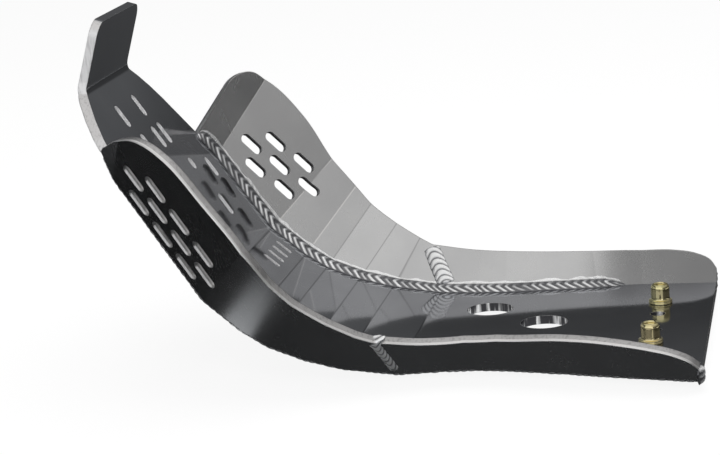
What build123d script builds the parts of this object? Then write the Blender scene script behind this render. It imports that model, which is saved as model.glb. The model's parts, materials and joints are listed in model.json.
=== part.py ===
from build123d import *
import math
import os

os.makedirs("parts", exist_ok=True)

# Motorcycle skid plate welded from bent aluminium sheet, millimetres.
# X points forward, Y to the left side of the motorcycle, Z up.
# The origin is on the underside of the base, midway between the two rivet nuts.

sheet = 5.0

# Side view of the centre plate: the base, then run and rise of each facet up to the tab.
rear_overhang = 31.0
base_run = 168.0
facet_d = (30.0, 4.0)
facet_c = (21.0, 5.5)
facet_b = (20.0, 8.0)
facet_a = (13.0, 8.5)
facet_f = (20.0, 17.5)
front_run = 73.0
front_slope = 1.522
tab_facet = (-12.0, 38.7)
bend_radius = 7.0
tab_corner = 9.0

# Rails, from the rear edge forward: run, inset of the base's edge, lean forward, out and up.
left_rear_half = 103.0
left_rail = [(0.0, 0.0, 0.0, 5.4, 7.7), (4.0, 0.9, 0.1, 8.1, 11.6), (12.0, 2.8, 0.9, 10.7, 15.8)]
left_rail += [(25.0, 5.8, 1.7, 12.7, 19.0), (45.0, 10.5, 0.3, 15.0, 21.6), (54.0, 13.0, -0.4, 16.2, 22.4)]
left_rail += [(72.0, 18.0, 1.9, 16.8, 22.9), (108.0, 26.5, 1.7, 16.2, 20.9)]
left_rail += [(128.0, 28.5, 0.2, 16.7, 20.2), (145.0, 27.0, 1.2, 17.3, 19.8)]
right_rear_half = 85.5
right_rail = [(0.0, 0.0, 0.0, 7.6, 7.3), (4.0, 0.0, 0.0, 12.0, 11.8), (12.0, 0.0, 0.8, 15.1, 15.3)]
right_rail += [(25.0, 0.0, 2.0, 16.6, 17.3), (45.0, 0.0, 1.4, 16.5, 17.5), (54.0, 0.7, 1.1, 16.6, 17.9)]
right_rail += [(72.0, 2.0, 3.9, 16.7, 18.2), (108.0, 6.0, 2.7, 17.9, 19.5)]
right_rail += [(128.0, 8.0, 0.3, 19.0, 20.5), (145.0, 7.5, 0.4, 19.8, 21.3)]

# Wings: half width of the plate at the seam and the bends, lean of the seam forward, out and up, then
# lean of the folds forward and up. How far out a fold leans follows from the flat facet behind it.
seam_half = 80.0
belly_half = 82.0
seam_lean = (7.8, 23.1, 24.3)
lean_d = (-13.9, 24.1)
lean_c = (-20.0, 27.3)
lean_b = (-23.6, 31.5)
lean_a = (-26.9, 33.9)

# Flat panel at the front of each wing: draw-in of its foot for each unit of run, flare in degrees
# from square to the plate, length of the foot, height of its first fold, then the rim along and up it.
panel_taper = 0.077
panel_flare = 41.0
left_panel_length = 83.0
left_fold_height = 64.5
left_panel_rim = [(41.5, 61.9), (74.2, 56.5), (86.2, 49.3), (93.0, 41.2), (97.0, 30.2)]
right_panel_length = 57.0
right_fold_height = 60.3
right_panel_rim = [(41.5, 62.8), (74.7, 57.0)]

# Shoulders of the plate: distance behind the tab's bend and half width. The first corner is the foot
# of the bent front end of the wing: lean forward and up on the left, rim along and up it on the right.
left_shoulder = [(19.0, 68.6), (15.5, 66.0), (9.6, 58.5), (4.7, 50.0), (1.0, 43.0)]
left_nose_lean = (-3.1, 3.1)
right_shoulder = [(32.0, 72.5), (23.0, 66.0), (15.5, 60.5), (9.6, 55.0), (4.7, 49.0), (1.0, 43.0)]
right_nose_rim = [(14.3, 56.7), (20.8, 48.7), (22.6, 41.6), (22.1, 35.6)]
tab_half = 41.5

# Openings cut through the sheets. Slots are given along and across or up their facet, rows with
# the length from the first middle to the last.
drain_radius = 13.7
drains = [(100.9, -35.1), (65.2, -4.2)]
bolt_hole_radius = 4.4
bolt_hole_half_pitch = 17.0
plate_slot_width = 5.5
plate_slots = [(109.3, 17.3, 15.0), (87.4, 11.5, 15.0), (87.4, 24.2, 15.0)]
plate_slots += [(62.8, 31.0, 8.0), (53.7, 56.0, 14.0), (31.0, 35.0, 15.0)]
row_slot_width = 3.5
row_slot_length = 12.0
row_slots = [30.0, 41.0, 52.0, 63.0]
wing_slot_width = 6.5
left_slot_length = 17.6
left_slot_step = (21.9, 0.0)
left_slot_rows = [(20.6, 7.4, 43.8), (10.9, 18.7, 65.7), (20.6, 31.0, 43.8)]
right_slot_length = 15.0
right_slot_step = (-8.5, 14.0)
right_slot_rows = [(48.4, 22.6, 16.4), (35.5, 15.1, 32.8), (13.4, 21.5, 16.4)]

# Weld beads. The inner bead begins at this run from the rear edge.
bead_leg = 4.4
bead_sink = 0.8
bead_bulge = 0.62
inner_bead_from = 50.0
seam_width = 7.5
seam_rise = 1.3

# Rivet nuts pressed into the base near its rear edge, thread M8.
nut_half_pitch = 42.0
nut_body_radius = 5.5
nut_clearance = 0.05
nut_ring_radius = 7.0
nut_ring_height = 2.2
nut_height = 11.5
nut_chamfer = 1.0
nut_thread_radius = 4.0
nut_flange_radius = 8.0
nut_flange = 1.2


def chain(start, facets):
    """Points of a line in side view, each a run and a rise after the one before."""
    points = [start]
    for run, rise in facets:
        points.append((points[-1][0] + run, points[-1][1] + rise))
    return points


belly_facets = [facet_d, facet_c, facet_b, facet_a, facet_f]
upper_facets = [(front_run, front_run * front_slope), tab_facet]
plate_line = chain((-rear_overhang, sheet), [(base_run, 0)] + belly_facets + upper_facets)
rear_edge, bend_e, bend_d, bend_c, bend_b, bend_a, bend_f, tab_bend, tab_end = plate_line


def below(line, depth):
    """Line in side view moved square to itself, with its corners kept on the mitre."""
    steps = [Vector(*b) - Vector(*a) for a, b in zip(line, line[1:])]
    normals = [Vector(s.Y, -s.X, 0).normalized() for s in steps]
    moved = []
    for k, point in enumerate(line):
        before = normals[max(k - 1, 0)]
        after = normals[min(k, len(normals) - 1)]
        mean = (before + after).normalized()
        moved.append(Vector(*point) + mean * (depth / mean.dot(after)))
    return moved


def panel_plane(side):
    """Inner face of the flat panel: origin at the foot of fold F, X along the foot, Y up the flare."""
    along = Vector(1, -panel_taper * side, front_slope).normalized()
    square = Vector(-front_slope, 0, 1).normalized()
    out = square.cross(along) * side
    flare = math.radians(panel_flare)
    climb = square * math.cos(flare) + out * math.sin(flare)
    foot = (bend_f[0], belly_half * side, bend_f[1])
    return Plane(origin=foot, x_dir=along, z_dir=along.cross(climb))


def on_plane(plane, points):
    """Points given along X and Y of a plane."""
    return [plane.from_local_coords(Vector(x, y, 0)) for x, y in points]


def on_front(rows, side):
    """Corners of the plate on the front facet, from distance behind the tab's bend and half width."""
    return [Vector(tab_bend[0] - back, half * side, tab_bend[1] - back * front_slope) for back, half in rows]


def leaning(foot, lean, side):
    """Upper end of a fold line that leans forward, out and up from its foot."""
    return foot + Vector(lean[0], lean[1] * side, lean[2])


def rail_stations(rear_half, rows, side):
    """Feet and tops of a rail, from the rear edge to the station before the seam."""
    feet = [Vector(rear_edge[0] + row[0], (rear_half - row[1]) * side, rear_edge[1]) for row in rows]
    return feet, [leaning(foot, row[2:], side) for foot, row in zip(feet, rows)]


def flat_top(foot, top, next_foot, lean):
    """Upper end of the next fold, which leans forward and up, and out until the facet before it is flat."""
    normal = (next_foot - foot).cross(top - foot)
    raised = next_foot + Vector(lean[0], 0, lean[1])
    return raised - Vector(0, (raised - foot).dot(normal) / normal.Y, 0)


def belly_stations(side):
    """Feet and tops of the fold lines of a wing, from the seam to the last fold before the panel."""
    feet = [Vector(bend_e[0], seam_half * side, bend_e[1])]
    tops = [leaning(feet[0], seam_lean, side)]
    for bend, lean in zip((bend_d, bend_c, bend_b, bend_a), (lean_d, lean_c, lean_b, lean_a)):
        foot = Vector(bend[0], belly_half * side, bend[1])
        tops.append(flat_top(feet[-1], tops[-1], foot, lean))
        feet.append(foot)
    return feet, tops


def fold_top(plane, foot, top, height):
    """Upper end of the fold where the flat facet behind it meets the panel, at a height up the panel."""
    normal = (plane.origin - foot).cross(top - foot)
    line = normal.cross(plane.z_dir)
    return plane.origin + line * (height / line.dot(plane.y_dir))


def outward(feet, tops, side):
    """Outward steps through a folded sheet at its stations, longer at the folds so the thickness holds."""
    facets = []
    for k in range(len(feet) - 1):
        along = feet[k + 1] - feet[k] + tops[k + 1] - tops[k]
        rise = tops[k] - feet[k] + tops[k + 1] - feet[k + 1]
        normal = along.cross(rise).normalized()
        facets.append(normal if normal.Y * side > 0 else normal * -1)
    result = []
    for k in range(len(feet)):
        before = facets[max(k - 1, 0)]
        after = facets[min(k, len(facets) - 1)]
        mean = (before + after).normalized()
        result.append(mean * (sheet / mean.dot(after)))
    return result


def downward(feet):
    """Downward steps through the plate at the stations of its side line."""
    line = below([(p.X, p.Z) for p in feet], sheet)
    return [Vector(q.X - p.X, 0, q.Y - p.Z) for p, q in zip(feet, line)]


def polygon(points):
    """Flat face with the given corners."""
    return Face(Wire.make_polygon(points, close=True))


def sheet_sections(feet, tops, outs):
    """Sections of a folded sheet whose inner face runs through feet and tops."""
    return [polygon([a, b, b + n, a + n]) for a, b, n in zip(feet, tops, outs)]


def flat_facet(feet, rim, outs):
    """Inner and outer face of a flat facet with any rim, mitred at its first and last fold."""
    normal = (feet[1] - feet[0]).cross(rim[0] - feet[0]).normalized()
    square = normal * normal.dot(outs[0])
    steps = [outs[0], outs[0]] + [square] * (len(rim) - 2) + [outs[1], outs[1]]
    inner = [feet[0]] + rim + [feet[1]]
    return [polygon(inner), polygon([corner + step for corner, step in zip(inner, steps)])]


def wing_facets(feet, tops, outs, rims):
    """Faces of all flat facets of a wing. A facet without rim points of its own has a straight rim."""
    facets = []
    for k in range(len(feet) - 1):
        rim = [tops[k]] + rims.get(k, []) + [tops[k + 1]]
        facets.append(flat_facet(feet[k:k + 2], rim, outs[k:k + 2]))
    return facets


def slot_places(rows, step):
    """Middles of slots in rows, each row given by its first middle and the length to its last."""
    places = []
    for x, y, length in rows:
        count = round(length / math.hypot(*step)) + 1
        places += [(x + k * step[0], y + k * step[1]) for k in range(count)]
    return places


def inner_bead(feet, tops, side):
    """Sections of the fillet bead in the corner between the plate and the sheets."""
    sections = []
    for low, high in zip(feet, tops):
        if low.X < rear_edge[0] + inner_bead_from:
            continue
        climb = (high - low).normalized()
        inward = Vector(0, -side, 0)
        root = low - (climb + inward).normalized() * bead_sink
        crown = low + (climb + inward) * (bead_leg * bead_bulge)
        sections.append(polygon([root, root + inward * bead_leg, crown, root + climb * bead_leg]))
    return sections


def outer_bead(feet, outs):
    """Sections of the bead that fills the open corner on the outside of the joint."""
    sections = []
    for low, out, down in zip(feet, outs, downward(feet)):
        root = low - (down + out) * 0.1
        plate_side = low + down * 0.97
        sheet_side = low + out * 0.97
        crown = low + (down + out) * bead_bulge
        inner_side = [plate_side - out * 0.2, plate_side]
        outer_side = [sheet_side, sheet_side - down * 0.2]
        sections.append(polygon([root] + inner_side + [crown] + outer_side))
    return sections


def seam_bead(low, high, out, along):
    """Two sections of the beads over the butt joint between a wing and a rail, both faces at once."""
    half = along.normalized() * (seam_width / 2)
    skin = out.normalized()
    corners = [half + skin * bead_sink, half * 0.6 - skin * seam_rise * 0.7, skin * -seam_rise]
    corners += [half * -0.6 - skin * seam_rise * 0.7, half * -1 + skin * bead_sink]
    corners += [half * -1 + out - skin * bead_sink, half * -0.6 + out + skin * seam_rise * 0.7]
    corners += [out + skin * seam_rise, half * 0.6 + out + skin * seam_rise * 0.7]
    corners += [half + out - skin * bead_sink]
    start = low + (high - low) * 0.04
    end = low + (high - low) * 0.97
    return [polygon([start + c for c in corners]), polygon([end + c for c in corners])]


# Stations of the joint from the rear edge to the front end of each wing: feet on the plate, tops on the rim.
left_panel = panel_plane(1)
left_corners = on_front(left_shoulder, 1)
left_feet, left_tops = rail_stations(left_rear_half, left_rail, 1)
seam = len(left_feet)
left_belly = belly_stations(1)
left_feet += left_belly[0] + on_plane(left_panel, [(0, 0), (left_panel_length, 0)])
left_tops += left_belly[1]
left_tops.append(fold_top(left_panel, left_belly[0][-1], left_belly[1][-1], left_fold_height))
left_tops += on_plane(left_panel, left_panel_rim[-1:])
left_tops.append(flat_top(left_feet[-1], left_tops[-1], left_corners[0], left_nose_lean))
left_feet.append(left_corners[0])
left_outs = outward(left_feet, left_tops, 1)

right_panel = panel_plane(-1)
right_corners = on_front(right_shoulder, -1)
right_feet, right_tops = rail_stations(right_rear_half, right_rail, -1)
right_belly = belly_stations(-1)
right_feet += right_belly[0] + on_plane(right_panel, [(0, 0), (right_panel_length, 0)])
right_tops += right_belly[1]
right_tops.append(fold_top(right_panel, right_belly[0][-1], right_belly[1][-1], right_fold_height))
right_tops += on_plane(right_panel, right_panel_rim[-1:])
nose_along = right_corners[0] - right_feet[-1]
nose_normal = nose_along.cross(right_tops[-1] - right_feet[-1])
right_nose = Plane(origin=right_feet[-1], x_dir=nose_along, z_dir=nose_normal)
right_tops += on_plane(right_nose, right_nose_rim[-1:])
right_feet.append(right_corners[0])
right_outs = outward(right_feet, right_tops, -1)

# Flat facets of the wings, counted from the seam. The panel comes after the belly, the nose after the panel.
panel = len(left_belly[0])
nose = panel + 1
left_rims = {panel: on_plane(left_panel, left_panel_rim[:-1])}
right_rims = {panel: on_plane(right_panel, right_panel_rim[:-1])}
right_rims[nose] = on_plane(right_nose, right_nose_rim[:-1])
left_facets = wing_facets(left_feet[seam:], left_tops[seam:], left_outs[seam:], left_rims)
right_facets = wing_facets(right_feet[seam:], right_tops[seam:], right_outs[seam:], right_rims)

# Planes of the straight front facet and of the facet with the row of narrow slots.
front_dir = Vector(front_run, 0, front_run * front_slope)
front_plane = Plane(origin=(bend_f[0], 0, bend_f[1]), x_dir=front_dir, z_dir=(-front_dir.Z, 0, front_dir.X))
row_dir = Vector(facet_f[0], 0, facet_f[1])
row_middle = Vector(bend_a[0], 0, bend_a[1]) + row_dir * 0.5
row_plane = Plane(origin=row_middle, x_dir=row_dir, z_dir=(-row_dir.Z, 0, row_dir.X))

# Centre plate: bent sheet cut to its plan, then to its shoulders and tab.
with BuildPart() as centre_plate:
    with BuildSketch(Plane.XZ):
        with BuildLine():
            upper = FilletPolyline(*plate_line, radius=bend_radius)
            lower = FilletPolyline(*below(plate_line, sheet), radius=bend_radius + sheet)
            Line(upper @ 0, lower @ 0)
            Line(upper @ 1, lower @ 1)
        make_face()
    wide = left_rear_half + right_rear_half
    extrude(amount=wide, both=True)
    ahead = tab_bend[0] + wide
    left_plan = [(p.X, p.Y) for p in left_feet] + [(ahead, left_corners[0].Y)]
    right_plan = [(p.X, p.Y) for p in right_feet] + [(ahead, right_corners[0].Y)]
    with BuildSketch(Plane.XY):
        with BuildLine():
            Polyline(*left_plan, *reversed(right_plan), close=True)
        make_face()
    extrude(amount=2 * tab_end[1], both=True, mode=Mode.INTERSECT)
    tab_rise = [(tab_half, tab_bend[1] + sheet), (tab_half, tab_end[1] + 2 * sheet)]
    left_rise = [(wide, -sheet), (wide, bend_f[1])]
    left_rise += [(p.Y, p.Z) for p in left_feet[-2:-1] + left_corners] + tab_rise
    right_rise = [(wide, -sheet), (wide, bend_f[1])]
    right_rise += [(-p.Y, p.Z) for p in right_feet[-2:-1] + right_corners] + tab_rise
    with BuildSketch(Plane.YZ):
        with BuildLine():
            Polyline(*left_rise, *[(-half, z) for half, z in reversed(right_rise)], close=True)
        make_face()
    extrude(amount=ahead, both=True, mode=Mode.INTERSECT)
    tips = centre_plate.faces().sort_by(Axis.Z)[-1].edges().sort_by(Axis.Y)
    fillet([tips[0], tips[-1]], radius=tab_corner)
    with Locations(*drains):
        Cylinder(radius=drain_radius, height=4 * sheet, mode=Mode.SUBTRACT)
    with Locations((0, bolt_hole_half_pitch), (0, -bolt_hole_half_pitch)):
        Cylinder(radius=bolt_hole_radius, height=4 * sheet, mode=Mode.SUBTRACT)
    with Locations((0, nut_half_pitch), (0, -nut_half_pitch)):
        Cylinder(radius=nut_body_radius + nut_clearance, height=4 * sheet, mode=Mode.SUBTRACT)
    with BuildSketch(front_plane):
        for along, across, length in plate_slots:
            with Locations((along, across), (along, -across)):
                SlotOverall(length, plate_slot_width)
    extrude(amount=2 * sheet, both=True, mode=Mode.SUBTRACT)
    with BuildSketch(row_plane):
        for across in row_slots:
            with Locations((0, across), (0, -across)):
                SlotOverall(row_slot_length, row_slot_width)
    extrude(amount=2 * sheet, both=True, mode=Mode.SUBTRACT)

# Wings: sheets folded from flat facets, standing on the edge of the plate, with slots in the front panel.
with BuildPart() as left_front_wing:
    for faces in left_facets:
        loft(faces, ruled=True)
    with BuildSketch(left_panel):
        with Locations(*slot_places(left_slot_rows, left_slot_step)):
            SlotOverall(left_slot_length, wing_slot_width)
    extrude(amount=2 * sheet, both=True, mode=Mode.SUBTRACT)

with BuildPart() as right_front_wing:
    for faces in right_facets:
        loft(faces, ruled=True)
    with BuildSketch(right_panel):
        with Locations(*slot_places(right_slot_rows, right_slot_step)):
            SlotOverall(right_slot_length, wing_slot_width)
    extrude(amount=2 * sheet, both=True, mode=Mode.SUBTRACT)

# Rails: low folded sheets that carry the wings on to the rear edge.
with BuildPart() as left_rear_rail:
    last = seam + 1
    loft(sheet_sections(left_feet[:last], left_tops[:last], left_outs[:last]), ruled=True)

with BuildPart() as right_rear_rail:
    loft(sheet_sections(right_feet[:last], right_tops[:last], right_outs[:last]), ruled=True)

# Welds: bead in the inner corner, bead on the outer corner, beads over the butt joint.
with BuildPart() as left_welds:
    loft(inner_bead(left_feet, left_tops, 1), ruled=True)
    loft(outer_bead(left_feet, left_outs), ruled=True)
    run = left_tops[seam + 1] - left_tops[seam - 1]
    loft(seam_bead(left_feet[seam], left_tops[seam], left_outs[seam], run), ruled=True)
    add(centre_plate.part, mode=Mode.SUBTRACT)
    add(left_front_wing.part, mode=Mode.SUBTRACT)
    add(left_rear_rail.part, mode=Mode.SUBTRACT)

with BuildPart() as right_welds:
    loft(inner_bead(right_feet, right_tops, -1), ruled=True)
    loft(outer_bead(right_feet, right_outs), ruled=True)
    run = right_tops[seam + 1] - right_tops[seam - 1]
    loft(seam_bead(right_feet[seam], right_tops[seam], right_outs[seam], run), ruled=True)
    add(centre_plate.part, mode=Mode.SUBTRACT)
    add(right_front_wing.part, mode=Mode.SUBTRACT)
    add(right_rear_rail.part, mode=Mode.SUBTRACT)

# Rivet nuts: flange under the base, crushed ring above it, open thread.
with BuildPart() as rivet_nuts:
    with BuildSketch(Plane.XZ):
        with BuildLine():
            ring_top = sheet + nut_ring_height
            nut_top = sheet + nut_height
            turn = [(nut_thread_radius, -nut_flange), (nut_flange_radius, -nut_flange)]
            turn += [(nut_flange_radius, 0), (nut_body_radius, 0), (nut_body_radius, sheet)]
            turn += [(nut_ring_radius, sheet)]
            turn += [(nut_ring_radius, ring_top), (nut_body_radius, ring_top)]
            turn += [(nut_body_radius, nut_top - nut_chamfer), (nut_body_radius - nut_chamfer, nut_top)]
            turn += [(nut_thread_radius, nut_top)]
            Polyline(*turn, close=True)
        make_face()
    revolve(axis=Axis.Z)
    nut = rivet_nuts.part
    add(nut.moved(Location((0, nut_half_pitch, 0))), mode=Mode.REPLACE)
    add(nut.moved(Location((0, -nut_half_pitch, 0))))

centre_plate.part.label = "centre_plate"
left_front_wing.part.label = "left_front_wing"
right_front_wing.part.label = "right_front_wing"
left_rear_rail.part.label = "left_rear_rail"
right_rear_rail.part.label = "right_rear_rail"
left_welds.part.label = "left_welds"
right_welds.part.label = "right_welds"
rivet_nuts.part.label = "rivet_nuts"

export_step(centre_plate.part, "parts/centre_plate.step")
export_step(left_front_wing.part, "parts/left_front_wing.step")
export_step(right_front_wing.part, "parts/right_front_wing.step")
export_step(left_rear_rail.part, "parts/left_rear_rail.step")
export_step(right_rear_rail.part, "parts/right_rear_rail.step")
export_step(left_welds.part, "parts/left_welds.step")
export_step(right_welds.part, "parts/right_welds.step")
export_step(rivet_nuts.part, "parts/rivet_nuts.step")
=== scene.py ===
import json
import math
from functools import reduce

import bpy
import numpy as np
from bpy.props import FloatProperty, FloatVectorProperty, PointerProperty
from mathutils import Matrix, Vector


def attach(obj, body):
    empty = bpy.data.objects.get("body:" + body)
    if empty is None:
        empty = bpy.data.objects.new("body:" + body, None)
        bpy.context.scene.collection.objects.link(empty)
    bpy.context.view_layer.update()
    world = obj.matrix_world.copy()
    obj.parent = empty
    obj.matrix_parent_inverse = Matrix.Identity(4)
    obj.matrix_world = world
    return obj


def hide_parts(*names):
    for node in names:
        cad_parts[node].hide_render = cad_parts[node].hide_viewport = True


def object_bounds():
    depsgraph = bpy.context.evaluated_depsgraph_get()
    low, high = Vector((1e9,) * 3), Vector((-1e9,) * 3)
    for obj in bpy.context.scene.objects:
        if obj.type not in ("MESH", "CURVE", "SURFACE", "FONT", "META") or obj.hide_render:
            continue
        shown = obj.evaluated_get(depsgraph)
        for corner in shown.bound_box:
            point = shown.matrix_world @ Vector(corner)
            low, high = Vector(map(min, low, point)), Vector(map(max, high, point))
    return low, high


bl_info = {
    "name": "Motorcycle Skid Plate",
    "version": (1, 0, 0),
    "blender": (4, 5, 0),
    "location": "View3D > Sidebar > Skid Plate",
    "description": "Finishes a welded aluminium skid plate: sheets, weld beads, rivet nuts and stage",
    "category": "Object",
}

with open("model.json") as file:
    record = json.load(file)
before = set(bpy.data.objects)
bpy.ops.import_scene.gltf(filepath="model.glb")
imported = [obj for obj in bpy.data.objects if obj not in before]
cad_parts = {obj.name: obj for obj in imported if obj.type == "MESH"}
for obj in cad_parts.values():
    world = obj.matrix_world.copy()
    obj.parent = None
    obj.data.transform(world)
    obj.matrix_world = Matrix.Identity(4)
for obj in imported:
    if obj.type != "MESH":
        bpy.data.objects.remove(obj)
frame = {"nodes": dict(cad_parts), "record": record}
CAD_BOX = [list(corner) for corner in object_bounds()]
FINISHES = {row["slot"]: row["base_color"] for row in frame["record"]["materials"]}
COLOUR = {"subtype": "COLOR", "size": 3, "min": 0, "max": 1}
MM = 0.001
SHEET = 5.0

# Sizes of the welded joint in millimetres. Rail rows run from the rear edge forward: run, inset of the
# edge of the base, then lean of the rail forward, out and up. Facets are run and rise in side view.
REAR_EDGE = -31.0
BASE_RUN = 168.0
LEFT_REAR_HALF = 103.0
LEFT_RAIL = np.array([
    (0, 0, 0, 5.4, 7.7), (4, 0.9, 0.1, 8.1, 11.6), (12, 2.8, 0.9, 10.7, 15.8), (25, 5.8, 1.7, 12.7, 19),
    (45, 10.5, 0.3, 15, 21.6), (54, 13, -0.4, 16.2, 22.4), (72, 18, 1.9, 16.8, 22.9),
    (108, 26.5, 1.7, 16.2, 20.9), (128, 28.5, 0.2, 16.7, 20.2), (145, 27, 1.2, 17.3, 19.8),
], float)
RIGHT_REAR_HALF = 85.5
RIGHT_RAIL = np.array([
    (0, 0, 0, 7.6, 7.3), (4, 0, 0, 12, 11.8), (12, 0, 0.8, 15.1, 15.3), (25, 0, 2, 16.6, 17.3),
    (45, 0, 1.4, 16.5, 17.5), (54, 0.7, 1.1, 16.6, 17.9), (72, 2, 3.9, 16.7, 18.2),
    (108, 6, 2.7, 17.9, 19.5), (128, 8, 0.3, 19, 20.5), (145, 7.5, 0.4, 19.8, 21.3),
], float)
SEAM_HALF = 80.0
BELLY_HALF = 82.0
SEAM_LEAN = np.array([7.8, 23.1, 24.3])
BELLY_FACETS = np.array([(30, 4), (21, 5.5), (20, 8), (13, 8.5), (20, 17.5)], float)
FOLD_LEANS = np.array([(-13.9, 24.1), (-20, 27.3), (-23.6, 31.5), (-26.9, 33.9)])
FRONT_RUN = 73.0
FRONT_SLOPE = 1.522
PANEL_TAPER = 0.077
PANEL_FLARE = math.radians(41.0)

# Panels: length of the foot, height of the fold, corners of the rim along and up the panel, length, width
# and turn of a slot, step from slot to slot, and rows of slots by the place of the first and the count.
LEFT_PANEL = {
    "length": 83.0, "fold": 64.5,
    "rim": np.array([(41.5, 61.9), (74.2, 56.5), (86.2, 49.3), (93.0, 41.2), (97.0, 30.2)]),
    "slot": (17.6, 6.5, 0.0), "step": np.array([21.9, 0.0]),
    "rows": ((20.6, 7.4, 3), (10.9, 18.7, 4), (20.6, 31.0, 3)),
}
RIGHT_PANEL = {
    "length": 57.0, "fold": 60.3, "rim": np.array([(41.5, 62.8), (74.7, 57.0)]),
    "slot": (16.0, 6.5, -11.0), "step": np.array([-8.5, 14.0]),
    "rows": ((48.4, 22.6, 2), (35.5, 15.1, 3), (13.4, 21.5, 2)),
}
LEFT_NOSE = {"behind_tab": 19.0, "half": 68.6, "rim": np.array([(16.5, 6.3)])}
RIGHT_NOSE = {
    "behind_tab": 32.0, "half": 72.5,
    "rim": np.array([(14.3, 56.7), (20.8, 48.7), (22.6, 41.6), (22.1, 35.6)]),
}
SEAM_STATION = len(LEFT_RAIL)
PANEL_STATION = SEAM_STATION + len(BELLY_FACETS)
INNER_BEAD_STATION = 5
NUT_PITCH = 84.0
NUT_SHARP = math.radians(40)
RAIL_SHARP = math.radians(60)

# Zones of the plate that hold slots and no outer edge: half width and top, in millimetres.
SLOT_ZONES = ((44.0, 155.0), (66.5, 128.0))

# Marks on the quads across a side sheet, in the order of its rings: 0 rolled, 1 sawn, above 1 a painted
# highlight line.
SHEET_CUT = np.array([0, 0, 0, 1, 1, 1, 1.8, 1.8, 1.8, 0, 0, 0, 0])
INNER_RINGS = 6
FOLD_WIDTH = 0.6
# Share of the sheet's thickness that the painted highlight line takes on the cut at the outer edge of the
# rim.
HIGHLIGHT_LINE_SHARE = 0.32
SLOT_REACH = 9.0
SIDE_GRAIN = (500.0, 500.0, 40.0)
PLATE_GRAIN = (30.0, 900.0, 900.0)

# Forms of the beads. The ridge stands high past the middle, and arrow, soft and bend shape the arms of a
# ripple. Keen sharpens it and weak is its least strength. Border and hem grade the mark across, shade is
# painted shade that darkens the second half, and tips are the lengths of the two ends.
PLAIN_BEAD = {"high": 0.0, "soft": 0.0, "bend": 1.0, "border": 3.0, "hem": 0.0}
INNER_BEAD = dict(
    PLAIN_BEAD, high=0.10, soft=0.08, bend=0.5, arrow=1.25, keen=1.7, border=2.2, shade=0.5, weak=0.52,
    tips=(13.0, 5.0))
OUTER_BEAD = dict(PLAIN_BEAD, arrow=0.7, keen=0.45, shade=0.3, weak=0.5, tips=(4.0, 4.0))
SEAM_BEAD = dict(
    PLAIN_BEAD, arrow=0.95, keen=0.6, border=1.0, hem=0.9, shade=0.0, weak=0.82, tips=(2.0, 2.0))
REAR_BEAD = dict(PLAIN_BEAD, arrow=0.5, keen=1.8, shade=0.5, weak=0.62, tips=(3.0, 3.0))
BEAD_POINTS = 17
FIRST_SEED = 11
STRENGTHS = 400
RIPPLE_SAMPLES = 14.0
LEAST_SAMPLES = 64
BEAD_SINK = 0.12
RIPPLE_DRIFT = 0.34
TOE_DRIFT = 0.36
EASE_WINDOW = np.hanning(17)[1:-1]
DRIFT_WINDOWS = (np.hanning(61) / 8.0, np.hanning(35) / 5.0)
TOE_REACH = np.array([[0.35, 0.7, 1.0]])
TOE_LIFT = np.array([0.24, 0.20, -0.10])[None, :, None]
TOE_MARK = 1.4
TOE_LENGTH = 2.0
SEAM_SHARES = np.linspace(0.10, 0.93, 8)[:, None]
SEAM_BACK = 4.5
SEAM_TILT = 6.5

# Stage in metres. A glow has an axis, a tint (blue over red when positive) and stops of place and level.
# A card has a glow and two opposite corners.
FLOOR_HALF = 9.0
FLOOR_Z = CAD_BOX[0][2] - 0.002
FLOOR_WHITE = 0.90
WHITE = (1.0, 1.0, 1.0, 1.0)
CARD_Z = FLOOR_Z + 0.0008
GLINT_Z = CARD_Z + 0.0004
COOL, WARM = 0.015, -0.02
GLOWS = {
    "front_dark": ("X", COOL, (-0.6, 0.042), (0.13, 0.042), (0.36, 0.012), (1.2, 0.012)),
    "under_lit": ("X", COOL, (0.03, 0.60), (0.14, 0.60)),
    "wing_glint": ("Y", COOL, (0.065, 0.62), (0.09, 0.36), (0.118, 0.08)),
    "behind_grey": ("Y", COOL, (-0.9, 0.115), (-0.3, 0.075)),
    "back_grades": ("Z", COOL, (0.0, 0.060), (0.24, 0.066), (0.34, 0.15), (0.70, 0.20), (1.3, 0.26)),
    "right_grades": ("Z", WARM, (0.0, 0.06), (0.25, 0.095), (0.84, 0.42), (1.3, 0.60)),
    "roof_grades": ("X", WARM, (-1.2, 0.42), (-0.8, 0.54), (-0.15, 0.83), (0.5, 0.75), (1.4, 0.6)),
    "rear_grades": ("X", WARM, (-0.10, 0.28), (0.038, 0.30)),
    "left_grades": ("Z", COOL, (0.0, 0.45), (0.45, 0.45), (0.65, 0.08), (1.3, 0.08)),
}
CARDS = {
    "front_card": ("front_dark", (-0.6, 0.05, CARD_Z), (1.2, 0.4, CARD_Z)),
    "side_card": ("front_dark", (0.15, -0.3, CARD_Z), (1.2, 0.05, CARD_Z)),
    "tail_card": ("front_dark", (-0.2, -0.3, CARD_Z), (0.03, 0.05, CARD_Z)),
    "under_card": ("under_lit", (0.03, -0.06, CARD_Z), (0.14, 0.05, CARD_Z)),
    "wing_card": ("wing_glint", (0.238, 0.065, GLINT_Z), (0.267, 0.118, GLINT_Z)),
    "behind_card": ("behind_grey", (-1.2, -0.9, CARD_Z), (1.4, -0.3, CARD_Z)),
    "back_card": ("back_grades", (-1.2, -0.9, 0.0), (1.4, -0.9, 1.3)),
    "right_card": ("right_grades", (-1.2, -0.9, 0.0), (-1.2, 1.7, 1.3)),
    "roof_card": ("roof_grades", (-1.2, -0.9, 1.3), (1.4, 1.7, 1.3)),
    "rear_card": ("rear_grades", (-0.10, -0.11, 0.1), (0.038, -0.025, 0.1)),
    "left_card": ("left_grades", (1.4, -0.9, 0.0), (1.4, 0.9, 1.3)),
}
CAMERA_PLACE = Vector((-0.105594, 1.331717, 0.379035))
CAMERA_RIGHT = Vector((-0.9800263, -0.18519001, -0.07247841))
CAMERA_DOWN = Vector((0.02756256, 0.23445073, -0.97173719))
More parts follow.
